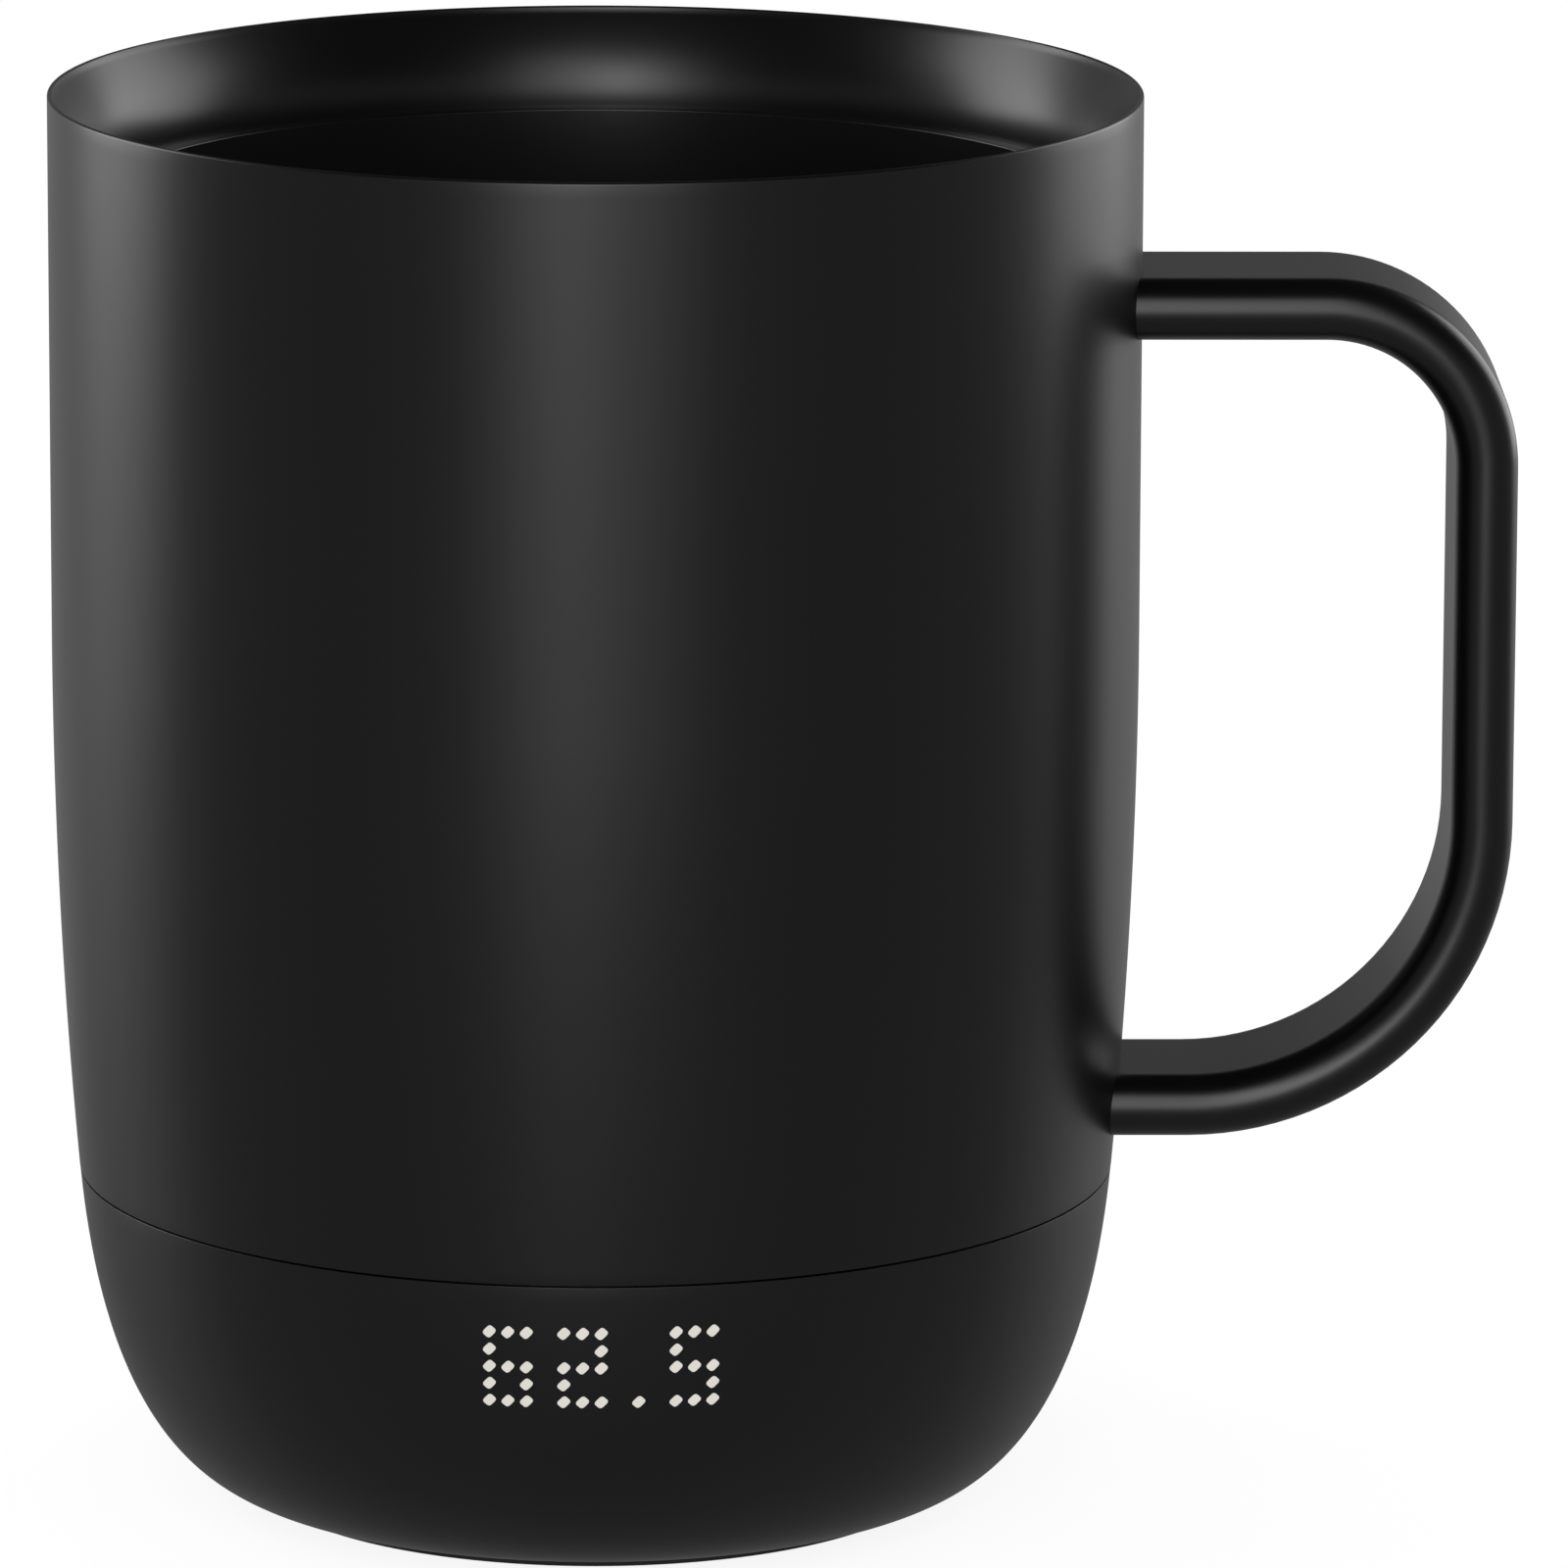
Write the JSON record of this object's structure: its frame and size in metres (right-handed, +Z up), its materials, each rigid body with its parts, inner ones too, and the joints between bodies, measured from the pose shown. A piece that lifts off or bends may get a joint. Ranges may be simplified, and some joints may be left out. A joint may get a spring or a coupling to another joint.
{
  "type": "self heating mug",
  "caption": "Self heating mug: double walled steel cup with a bent bar handle, over a battery base with a lit number display, charging rings and a power button.",
  "frame": {"origin": "on the table, midway between the far side of the body and the outer face of the handle; the mug's own axis stands at x = -0.014725", "axes": "+Z up along the mug's axis, +X towards the handle, and the number display faces -Y"},
  "size_m": [0.1154, 0.086, 0.1124],
  "materials": {
    "black_paint": "satin black powder coat on steel",
    "black_plastic": "satin black moulded plastic",
    "black_silicone": "matt",
    "grey_plastic": "glass filled, matt",
    "aluminium": "brushed",
    "amber_film": "clear amber film over copper",
    "foam": "fibrous insulation",
    "white_plastic": "matt",
    "red_insulation": "silicone insulation",
    "cell_sleeve": "shrink sleeve on a steel can",
    "nickel": "nickel plated",
    "screw_steel": "machined",
    "circuit_board": "green solder mask",
    "chip_black": "moulded",
    "contact_metal": "gold plated brass"
  },
  "bodies": {
    "mug_body": {"outer_shell": "black_paint", "inner_cup": "black_paint", "handle": "black_paint", "base_shell": "black_plastic", "base_seal": "black_silicone", "foot_ring": "black_silicone", "support_frame": "grey_plastic", "heat_spreader": "aluminium", "heater_film": "amber_film", "insulation_pad": "foam", "temperature_sensor": "chip_black", "thermal_fuse": "white_plastic", "heater_lead_1": "red_insulation", "heater_lead_2": "red_insulation", "battery_cell_1": "cell_sleeve", "battery_cell_2": "cell_sleeve", "cell_link": "nickel", "cell_tab_1": "nickel", "cell_tab_2": "nickel", "battery_cradle": "grey_plastic", "base_screw_1": "screw_steel", "base_screw_2": "screw_steel", "base_screw_3": "screw_steel", "cradle_screw_1": "screw_steel", "cradle_screw_2": "screw_steel", "cradle_screw_3": "screw_steel", "board_screw_1": "screw_steel", "board_screw_2": "screw_steel", "cover_screw_1": "screw_steel", "cover_screw_2": "screw_steel", "cover_screw_3": "screw_steel", "main_board": "circuit_board", "control_chip": "chip_black", "charger_chip": "chip_black", "radio_module": "nickel", "power_inductor": "grey_plastic", "display_connector": "white_plastic", "display_ribbon": "amber_film", "display_board": "circuit_board", "light_baffle": "white_plastic", "diffuser_film": "white_plastic", "bottom_cover": "black_plastic", "contact_ring_outer": "contact_metal", "contact_ring_inner": "contact_metal", "contact_pin_outer": "contact_metal", "contact_pin_inner": "contact_metal", "button_gasket": "black_silicone", "switch_body": "chip_black"},
    "button": {"power_button": "black_plastic"},
    "plunger": {"switch_plunger": "white_plastic"}
  },
  "joints": [
    {"name": "power_button_press", "type": "slide", "parent": "mug_body", "child": "button", "axis": [0, 0, 1], "range_m": [0, 0.0005], "stiffness_N_per_m": 3000, "springref_m": -0.0002},
    {"name": "switch_plunger_press", "type": "slide", "parent": "mug_body", "child": "plunger", "axis": [0, 0, 1], "range_m": [0, 0.0005]}
  ],
  "couplings": [
    {"joint": "switch_plunger_press", "follows": "power_button_press", "ratio": 1}
  ]
}
